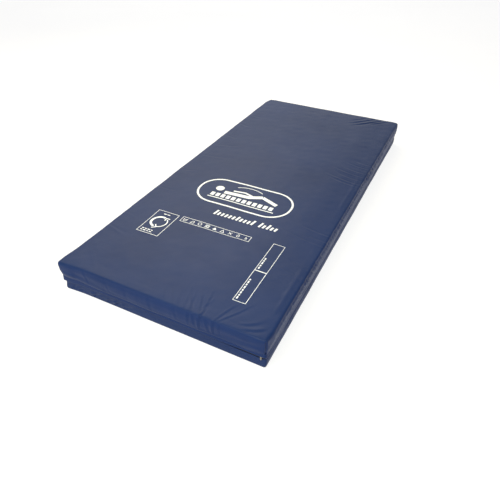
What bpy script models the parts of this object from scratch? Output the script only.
"""Pressure relief mattress: a castellated foam core in a coated stretch cover that unzips on three sides.

Metres, +Z up. The origin is at the middle of the underside, +Y runs to the head end and +X to the
right-hand long side. The zip starts at the foot right corner, runs across the foot end, up the left
side and across the head end. The right side has no zip, so the top cover folds open about it.
"""

import math

import bmesh
import bpy

# The whole mattress
LENGTH = 1.970
WIDTH = 0.880
HEIGHT = 0.140

# The cover's sheets, and the gap that every piece keeps to its neighbour
SHEET = 0.0012
GAP = 0.0003

# Depths below the outermost face of a side, where the layers of the zip lie one behind the other
FLAP_THICK = 0.0010
PULL_DEPTH = FLAP_THICK + GAP
PULL_THICK = 0.0008
BORDER_DEPTH = PULL_DEPTH + PULL_THICK + GAP
FRONT_WING_DEPTH = BORDER_DEPTH + SHEET + GAP
WING_THICK = 0.0008
COIL_DEPTH = FRONT_WING_DEPTH + WING_THICK + GAP
COIL_THICK = 0.0010
REAR_WING_DEPTH = COIL_DEPTH + COIL_THICK + GAP
TAPE_THICK = 0.0006
CHAIN_DEPTH = COIL_DEPTH + COIL_THICK / 2

# Heights of the closure
ZIP_HEIGHT = 0.0570
COIL_SPREAD = 0.0008
COIL_TALL = 0.0020
TAPE_TALL = 0.0140
UPPER_BORDER_LOW = 0.0635
LOWER_BORDER_TOP = 0.0505
FLAP_TOP = 0.0693
FLAP_LOW = 0.0500
CORNER_RADIUS = 0.0080
CORNER_STEPS = 6

# The fold about which the top cover opens, along the right side at the height of the zip
FOLD_X = WIDTH / 2 - BORDER_DEPTH - SHEET / 2
FOLD_CLEAR = 0.0017
ZIP_END_X = FOLD_X - 0.0015
STOP_LONG = 0.0030
STOP_THICK = 0.0016

# The flap runs on past the start of the zip, along the right side
RETURN_LONG = 0.1900
RETURN_LOW = 0.0615

# The slider and its pull
SLIDER_X = 0.4200
SLIDER_LONG = 0.0200
SLIDER_TALL = 0.0110
SLIDER_TAIL_TALL = 0.0080
POST_THICK = 0.0010
POST_LONG = 0.0024
NOSE_RADIUS = 0.0028
TAIL_RADIUS = 0.0018
STUD_RADIUS = 0.0010
EYE_HOLE_RADIUS = 0.0014
EYE_RADIUS = 0.0032
PULL_LONG = 0.0180
PULL_TIP_RADIUS = 0.0026

# The foam
FOAM_HALF_WIDTH = 0.4280
FOAM_HALF_LENGTH = 0.9760
FOAM_BASE_TOP = 0.0500
FOAM_TOP = HEIGHT - SHEET - 0.0008
SIDE_WALL_WIDE = 0.0660
CELLS_ACROSS = 9
CELLS_ALONG = 24
SLOT_WIDE = 0.0050
SLOT_DEEP = 0.0450

ROUND_STEPS = 24


def clear_scene():
    for obj in list(bpy.data.objects):
        bpy.data.objects.remove(obj, do_unlink=True)


def collection(name):
    made = bpy.data.collections.new(name)
    bpy.context.scene.collection.children.link(made)
    return made


def material(name, colour, roughness, metallic=0.0):
    made = bpy.data.materials.new(name)
    made.use_nodes = True
    shader = made.node_tree.nodes["Principled BSDF"]
    shader.inputs["Base Color"].default_value = (*colour, 1.0)
    shader.inputs["Roughness"].default_value = roughness
    shader.inputs["Metallic"].default_value = metallic
    return made


def add(name, data, group, paint=None, location=(0, 0, 0), pivot=None):
    """One named object, placed by its world location and hung on its pivot if it has one."""
    obj = bpy.data.objects.new(name, data)
    group.objects.link(obj)
    obj.location = location
    if paint:
        data.materials.append(paint)
    if pivot:
        obj.parent = pivot
        obj.location = [here - there for here, there in zip(location, pivot.location)]
    return obj


def empty(name, location, group):
    made = bpy.data.objects.new(name, None)
    group.objects.link(made)
    made.location = location
    return made


def box_mesh(name, size, centre=(0, 0, 0)):
    cage = bmesh.new()
    bmesh.ops.create_cube(cage, size=1.0)
    bmesh.ops.scale(cage, vec=size, verts=cage.verts)
    bmesh.ops.translate(cage, vec=centre, verts=cage.verts)
    mesh = bpy.data.meshes.new(name)
    cage.to_mesh(mesh)
    cage.free()
    return mesh


def box(name, low, high, group, paint, pivot=None):
    """A box between two corners, with its origin at its centre."""
    size = [b - a for a, b in zip(low, high)]
    centre = [(a + b) / 2 for a, b in zip(low, high)]
    return add(name, box_mesh(name, size), group, paint, centre, pivot)


def hung_box(name, low, high, origin, group, paint, pivot):
    """A box between two corners, with its origin on the line that it turns about."""
    size = [b - a for a, b in zip(low, high)]
    centre = [(a + b) / 2 - o for a, b, o in zip(low, high, origin)]
    return add(name, box_mesh(name, size, centre), group, paint, origin, pivot)


def boolean(obj, operation, other):
    modifier = obj.modifiers.new(operation.title(), "BOOLEAN")
    modifier.operation = operation
    modifier.object = other
    modifier.solver = "EXACT"


def helper(obj):
    """Keeps a cutter or a joined shape out of the finished object."""
    obj.hide_render = True
    obj.display_type = "WIRE"
    return obj


def arc(centre, radius, start, end, steps):
    """Points on a circle, from one angle to another in degrees."""
    angles = [math.radians(start + (end - start) * i / steps) for i in range(steps + 1)]
    return [(centre[0] + radius * math.cos(a), centre[1] + radius * math.sin(a)) for a in angles]


def spline(curve, points, closed):
    line = curve.splines.new("POLY")
    line.points.add(len(points) - 1)
    for place, (x, y) in zip(line.points, points):
        place.co = (x, y, 0, 1)
    line.use_cyclic_u = closed


def plate_mesh(name, outlines, thick):
    """A flat plate lying in XY, as a mesh: the first outline is its edge and the others are holes."""
    curve = bpy.data.curves.new(name, "CURVE")
    curve.dimensions = "2D"
    curve.fill_mode = "BOTH"
    curve.extrude = thick / 2
    for outline in outlines:
        spline(curve, outline, closed=True)
    holder = bpy.data.objects.new(name, curve)
    bpy.context.scene.collection.objects.link(holder)
    graph = bpy.context.evaluated_depsgraph_get()
    mesh = bpy.data.meshes.new_from_object(holder.evaluated_get(graph))
    bpy.data.objects.remove(holder, do_unlink=True)
    bpy.data.curves.remove(curve)
    cage = bmesh.new()
    cage.from_mesh(mesh)
    bmesh.ops.remove_doubles(cage, verts=cage.verts, dist=1e-6)
    bmesh.ops.recalc_face_normals(cage, faces=cage.faces)
    cage.to_mesh(mesh)
    cage.free()
    mesh.name = name
    return mesh


def three_sided_path(depth, end_x):
    """The zip's line seen from above: foot end, left side and head end, at a depth below the outside."""
    side = WIDTH / 2 - depth
    end = LENGTH / 2 - depth
    bend_x = CORNER_RADIUS - side
    bend_y = end - CORNER_RADIUS
    foot_bend = arc((bend_x, -bend_y), CORNER_RADIUS, 270, 180, CORNER_STEPS)
    head_bend = arc((bend_x, bend_y), CORNER_RADIUS, 180, 90, CORNER_STEPS)
    return [(end_x, -end)] + foot_bend + head_bend + [(end_x, end)]


def ribbon(name, low, high, thick, end_x, group, paint, pivot=None):
    """An upright band along the zip's line, between two heights."""
    curve = bpy.data.curves.new(name, "CURVE")
    curve.dimensions = "2D"
    curve.fill_mode = "NONE"
    curve.extrude = (high - low) / 2
    spline(curve, three_sided_path(CHAIN_DEPTH, end_x), closed=False)
    obj = add(name, curve, group, paint, (0, 0, (low + high) / 2), pivot)
    solid = obj.modifiers.new("Solidify", "SOLIDIFY")
    solid.thickness = thick
    solid.offset = 0.0
    return obj


def end_and_left_borders(name, low, high, group, paint, pivot=None):
    """Upright panels over the three zipped sides. The end panels close the corners."""
    side = WIDTH / 2 - BORDER_DEPTH
    end = LENGTH / 2 - BORDER_DEPTH
    between = end - SHEET - GAP
    for sign, place in ((-1, "foot"), (1, "head")):
        ys = sorted((sign * end, sign * (end - SHEET)))
        box(f"{name}_{place}", (-side, ys[0], low), (side, ys[1], high), group, paint, pivot)
    box(f"{name}_left", (-side, -between, low), (SHEET - side, between, high), group, paint, pivot)


def right_border(name, low, high, group, paint, pivot=None):
    """The right-hand panel has no zip beside it, so it reaches almost to the fold."""
    side = WIDTH / 2 - BORDER_DEPTH
    between = LENGTH / 2 - BORDER_DEPTH - SHEET - GAP
    box(name, (side - SHEET, -between, low), (side, between, high), group, paint, pivot)


def base_cover(group, paint):
    side = WIDTH / 2 - BORDER_DEPTH
    end = LENGTH / 2 - BORDER_DEPTH
    box("base_panel", (-side, -end, 0), (side, end, SHEET), group, paint)
    low = SHEET + GAP
    end_and_left_borders("base_border", low, LOWER_BORDER_TOP, group, paint)
    right_border("base_border_right", low, ZIP_HEIGHT - FOLD_CLEAR, group, paint)


def top_cover(group, paint, pivot):
    side = WIDTH / 2 - BORDER_DEPTH
    end = LENGTH / 2 - BORDER_DEPTH
    under = HEIGHT - SHEET
    box("top_panel", (-side, -end, under), (side, end, HEIGHT), group, paint, pivot)
    high = under - GAP
    end_and_left_borders("top_border", UPPER_BORDER_LOW, high, group, paint, pivot)
    right_border("top_border_right", ZIP_HEIGHT + GAP, high, group, paint, pivot)


def flaps(group, paint, pivot):
    """Rain flaps over the zip, each hung from its stitched top edge."""
    side = WIDTH / 2
    end = LENGTH / 2
    for sign, place in ((-1, "foot"), (1, "head")):
        ys = sorted((sign * end, sign * (end - FLAP_THICK)))
        corners = (-side, ys[0], FLAP_LOW), (side, ys[1], FLAP_TOP)
        hinge = (0, sum(ys) / 2, FLAP_TOP)
        hung_box(f"flap_{place}", *corners, hinge, group, paint, pivot)
    between = end - FLAP_THICK - GAP
    corners = (-side, -between, FLAP_LOW), (FLAP_THICK - side, between, FLAP_TOP)
    hinge = (FLAP_THICK / 2 - side, 0, FLAP_TOP)
    hung_box("flap_left", *corners, hinge, group, paint, pivot)
    corners = (side - FLAP_THICK, -between, RETURN_LOW), (side, RETURN_LONG - between, FLAP_TOP)
    box("flap_return", *corners, group, paint, pivot)


def zip_chain(group, tape, coil, pivot):
    """Each half of the zip: a coil beside the middle line, and the tape that carries it."""
    coil_end = ZIP_END_X - STOP_LONG
    outer = COIL_SPREAD + COIL_TALL
    edge = outer + GAP
    for half, sign, hung in (("upper", 1, pivot), ("lower", -1, None)):
        low, high = sorted(ZIP_HEIGHT + sign * z for z in (COIL_SPREAD, outer))
        ribbon(f"zip_coil_{half}", low, high, COIL_THICK, coil_end, group, coil, hung)
        low, high = sorted(ZIP_HEIGHT + sign * z for z in (edge, edge + TAPE_TALL))
        ribbon(f"zip_tape_{half}", low, high, TAPE_THICK, ZIP_END_X, group, tape, hung)


def zip_stops(group, paint, pivot):
    """Small clamps past the coils: one on each half where the zip starts, and one at its far end."""
    chain_y = LENGTH / 2 - CHAIN_DEPTH
    xs = ZIP_END_X - STOP_LONG + GAP, ZIP_END_X
    half = STOP_THICK / 2
    outer = COIL_SPREAD + COIL_TALL
    clamps = (
        ("zip_stop_upper", -chain_y, COIL_SPREAD, outer, pivot),
        ("zip_stop_lower", -chain_y, -outer, -COIL_SPREAD, None),
        ("zip_stop_end", chain_y, -outer, 0, None),
    )
    for name, y, low, high, hung in clamps:
        corners = (xs[0], y - half, ZIP_HEIGHT + low), (xs[1], y + half, ZIP_HEIGHT + high)
        box(name, *corners, group, paint, hung)


def upright_plate(name, outlines, thick, group, paint, location, pivot=None):
    """A plate whose outline stands in the XZ plane."""
    obj = add(name, plate_mesh(name, outlines, thick), group, paint, location, pivot)
    obj.rotation_euler.x = math.radians(90)
    return obj


def slider_outline():
    """Wide at the nose, where the two halves part, and narrower at the tail."""
    nose_x = SLIDER_LONG / 2 - NOSE_RADIUS
    tail_x = TAIL_RADIUS - SLIDER_LONG / 2
    nose_y = SLIDER_TALL / 2 - NOSE_RADIUS
    tail_y = SLIDER_TAIL_TALL / 2 - TAIL_RADIUS
    return (
        arc((nose_x, nose_y), NOSE_RADIUS, 0, 90, CORNER_STEPS)
        + arc((tail_x, tail_y), TAIL_RADIUS, 90, 180, CORNER_STEPS)
        + arc((tail_x, -tail_y), TAIL_RADIUS, 180, 270, CORNER_STEPS)
        + arc((nose_x, -nose_y), NOSE_RADIUS, 270, 360, CORNER_STEPS)
    )


def pull_outlines():
    """A round eye over a tapered tab with a round tip, and the hole in the eye."""
    tip_y = PULL_TIP_RADIUS - PULL_LONG
    edge = arc((0, 0), EYE_RADIUS, -20, 200, ROUND_STEPS)
    edge += arc((0, tip_y), PULL_TIP_RADIUS, 180, 360, ROUND_STEPS // 2)
    hole = arc((0, 0), EYE_HOLE_RADIUS, 0, 360, ROUND_STEPS)[:-1]
    return [edge, hole]


def zip_slider(group, cutters, paint, pivot):
    """Two wings, in front of the coils and behind them, joined by a post that parts the coils."""
    outer = -LENGTH / 2
    front_y = outer + FRONT_WING_DEPTH + WING_THICK / 2
    rear_y = outer + REAR_WING_DEPTH + WING_THICK / 2
    place = (SLIDER_X, front_y, ZIP_HEIGHT)
    body = upright_plate("zip_slider", [slider_outline()], WING_THICK, group, paint, place)
    place = (SLIDER_X, rear_y, ZIP_HEIGHT)
    rear = upright_plate("slider_rear_wing", [slider_outline()], WING_THICK, cutters, paint, place)
    post_x = SLIDER_X + SLIDER_LONG / 2 - POST_LONG
    post_size = (POST_LONG, rear_y - front_y, POST_THICK)
    post_mesh = box_mesh("slider_post", post_size)
    place = (post_x, (front_y + rear_y) / 2, ZIP_HEIGHT)
    post = add("slider_post", post_mesh, cutters, paint, place)
    stud_out = outer + PULL_DEPTH
    stud = stud_of(front_y - stud_out, cutters, paint)
    stud.location = (SLIDER_X, (front_y + stud_out) / 2, ZIP_HEIGHT)
    for piece in (rear, post, stud):
        boolean(body, "UNION", helper(piece))
    pull_y = outer + PULL_DEPTH + PULL_THICK / 2
    place = (SLIDER_X, pull_y, ZIP_HEIGHT)
    upright_plate("zip_pull", pull_outlines(), PULL_THICK, group, paint, place, pivot)


def stud_of(long, group, paint):
    """The short round stud on the slider's front, along Y, that the pull hangs on."""
    cage = bmesh.new()
    bmesh.ops.create_cone(
        cage, cap_ends=True, segments=ROUND_STEPS, radius1=STUD_RADIUS, radius2=STUD_RADIUS, depth=long
    )
    mesh = bpy.data.meshes.new("slider_stud")
    cage.to_mesh(mesh)
    cage.free()
    stud = add("slider_stud", mesh, group, paint)
    stud.rotation_euler.x = math.radians(90)
    return stud


def slot_cutter(name, count, span, across, group):
    """Parallel slots between the cells, as one mesh of separate boxes."""
    cage = bmesh.new()
    pitch = span / count
    for i in range(1, count):
        made = bmesh.ops.create_cube(cage, size=1.0)["verts"]
        size = (SLOT_WIDE, across, 2 * SLOT_DEEP)
        bmesh.ops.scale(cage, vec=size, verts=made)
        bmesh.ops.translate(cage, vec=(i * pitch - span / 2, 0, 0), verts=made)
    mesh = bpy.data.meshes.new(name)
    cage.to_mesh(mesh)
    cage.free()
    return helper(add(name, mesh, group, None, (0, 0, FOAM_TOP)))


def foam_core(group, cutters, firm, soft):
    """A firm base and side walls round a soft layer whose top is cut into a grid of cells."""
    wide = FOAM_HALF_WIDTH
    long = FOAM_HALF_LENGTH
    low = SHEET + GAP
    box("foam_base", (-wide, -long, low), (wide, long, FOAM_BASE_TOP), group, firm)
    rest = FOAM_BASE_TOP + GAP
    inner = wide - SIDE_WALL_WIDE
    box("foam_side_left", (-wide, -long, rest), (-inner, long, FOAM_TOP), group, firm)
    box("foam_side_right", (inner, -long, rest), (wide, long, FOAM_TOP), group, firm)
    half = inner - GAP
    cells = box("foam_castellated", (-half, -long, rest), (half, long, FOAM_TOP), group, soft)
    past = 1.1
    along = slot_cutter("slots_along", CELLS_ACROSS, 2 * half, 2 * past * long, cutters)
    across = slot_cutter("slots_across", CELLS_ALONG, 2 * long, 2 * past * half, cutters)
    across.rotation_euler.z = math.radians(90)
    boolean(cells, "DIFFERENCE", along)
    boolean(cells, "DIFFERENCE", across)


def build():
    clear_scene()
    parts = collection("pressure_relief_mattress")
    cutters = collection("cutters")
    cover_cloth = material("coated_cover_cloth", (0.045, 0.060, 0.120), 0.45)
    base_cloth = material("coated_base_cloth", (0.030, 0.042, 0.095), 0.50)
    tape = material("zip_tape", (0.015, 0.020, 0.050), 0.80)
    coil = material("zip_coil", (0.020, 0.025, 0.055), 0.45)
    metal = material("zip_metal", (0.62, 0.57, 0.45), 0.35, 0.9)
    firm = material("firm_foam", (0.62, 0.66, 0.72), 0.95)
    soft = material("soft_foam", (0.82, 0.78, 0.62), 0.95)
    fold = empty("top_cover_fold", (FOLD_X, 0, ZIP_HEIGHT), parts)
    base_cover(parts, base_cloth)
    top_cover(parts, cover_cloth, fold)
    flaps(parts, cover_cloth, fold)
    zip_chain(parts, tape, coil, fold)
    zip_stops(parts, metal, fold)
    pull_y = PULL_DEPTH + PULL_THICK / 2 - LENGTH / 2
    swing = empty("pull_swing", (SLIDER_X, pull_y, ZIP_HEIGHT), parts)
    zip_slider(parts, cutters, metal, swing)
    foam_core(parts, cutters, firm, soft)


build()
